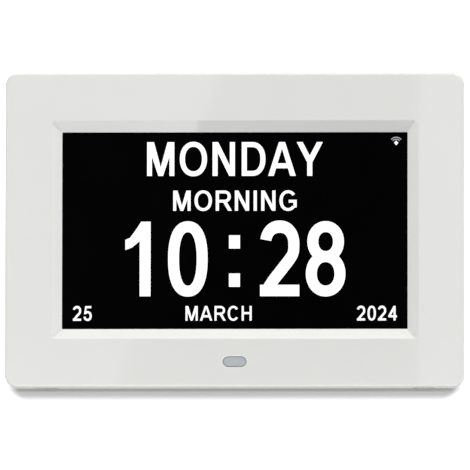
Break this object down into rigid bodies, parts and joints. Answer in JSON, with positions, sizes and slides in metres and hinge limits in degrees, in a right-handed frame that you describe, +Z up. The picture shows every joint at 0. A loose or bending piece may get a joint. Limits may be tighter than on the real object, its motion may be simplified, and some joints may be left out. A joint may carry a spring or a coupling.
{
  "type": "dementia day clock",
  "caption": "Desk and wall day clock: white frame round a colour display that spells out day, part of day, time and date, with a fold-out leg, keys and sockets at the back.",
  "frame": {"origin": "middle of the footprint on the table, with the leg open", "axes": "+X to the right as seen from the front, -Y out of the face towards the viewer, +Z up"},
  "size_m": [0.205, 0.0652, 0.1396],
  "materials": {
    "gloss_white": "gloss",
    "satin_white": "satin",
    "ir_lens": "gloss",
    "black_foam": "matte foam",
    "bright_steel": "bright",
    "screen_glass": "gloss, lit from behind",
    "clear_acrylic": "clear",
    "amber_film": "film",
    "screw_steel": "zinc",
    "green_board": "solder mask",
    "dark_resin": "resin",
    "red_wire": "insulation",
    "grey_rubber": "matte",
    "black_plastic": "matte",
    "brushed_aluminium": "satin",
    "ivory_plastic": "matte",
    "pale_film": "film",
    "cone_paper": "pressed paper",
    "dark_metal": "satin",
    "key_grey": "satin"
  },
  "bodies": {
    "case": {"front_frame": "gloss_white", "ir_window": "ir_lens", "screen_gasket": "black_foam", "lcd_frame": "bright_steel", "lcd_glass": "screen_glass", "light_guide": "clear_acrylic", "backlight_tray": "bright_steel", "lcd_ribbon": "amber_film", "lcd_clamps": "bright_steel", "clamp_screws": "screw_steel", "ir_board": "green_board", "ir_receiver": "dark_resin", "ir_board_screws": "screw_steel", "ir_cable": "red_wire", "rear_cover": "satin_white", "case_screws": "screw_steel", "foot_pads": "grey_rubber", "hinge_pin": "bright_steel", "main_board": "green_board", "board_screws": "screw_steel", "main_chip": "black_plastic", "memory_chips": "black_plastic", "capacitors": "brushed_aluminium", "inductor": "dark_resin", "crystal": "bright_steel", "cell_holder": "black_plastic", "backup_cell": "bright_steel", "lcd_connector": "ivory_plastic", "wire_headers": "ivory_plastic", "dc_jack": "black_plastic", "dc_jack_pin": "bright_steel", "usb_shell": "bright_steel", "usb_tongue": "black_plastic", "card_socket": "bright_steel", "key_board": "green_board", "switch_bodies": "black_plastic", "key_board_screws": "screw_steel", "key_cable": "pale_film", "speaker_frame": "bright_steel", "speaker_cone": "cone_paper", "speaker_magnet": "dark_metal", "speaker_screws": "screw_steel", "speaker_leads": "red_wire"},
    "leg": {"stand_leg": "satin_white", "leg_shoe": "grey_rubber"},
    "button_power": {"key_power": "key_grey", "plunger_power": "black_plastic"},
    "button_menu": {"key_menu": "key_grey", "plunger_menu": "black_plastic"},
    "button_up": {"key_up": "key_grey", "plunger_up": "black_plastic"},
    "button_down": {"key_down": "key_grey", "plunger_down": "black_plastic"},
    "button_left": {"key_left": "key_grey", "plunger_left": "black_plastic"},
    "button_right": {"key_right": "key_grey", "plunger_right": "black_plastic"},
    "button_exit": {"key_exit": "key_grey", "plunger_exit": "black_plastic"}
  },
  "joints": [
    {"name": "stand_hinge", "type": "hinge", "parent": "case", "child": "leg", "pos_m": [0, 0.00864, 0.08292], "axis": [1, 0, 0], "range_deg": [-28, 0]},
    {"name": "press_power", "type": "slide", "parent": "case", "child": "button_power", "axis": [0, -0.9703, 0.2419], "range_m": [0, 0.0005], "stiffness_N_per_m": 2000},
    {"name": "press_menu", "type": "slide", "parent": "case", "child": "button_menu", "axis": [0, -0.9703, 0.2419], "range_m": [0, 0.0005], "stiffness_N_per_m": 2000},
    {"name": "press_up", "type": "slide", "parent": "case", "child": "button_up", "axis": [0, -0.9703, 0.2419], "range_m": [0, 0.0005], "stiffness_N_per_m": 2000},
    {"name": "press_down", "type": "slide", "parent": "case", "child": "button_down", "axis": [0, -0.9703, 0.2419], "range_m": [0, 0.0005], "stiffness_N_per_m": 2000},
    {"name": "press_left", "type": "slide", "parent": "case", "child": "button_left", "axis": [0, -0.9703, 0.2419], "range_m": [0, 0.0005], "stiffness_N_per_m": 2000},
    {"name": "press_right", "type": "slide", "parent": "case", "child": "button_right", "axis": [0, -0.9703, 0.2419], "range_m": [0, 0.0005], "stiffness_N_per_m": 2000},
    {"name": "press_exit", "type": "slide", "parent": "case", "child": "button_exit", "axis": [0, -0.9703, 0.2419], "range_m": [0, 0.0005], "stiffness_N_per_m": 2000}
  ]
}
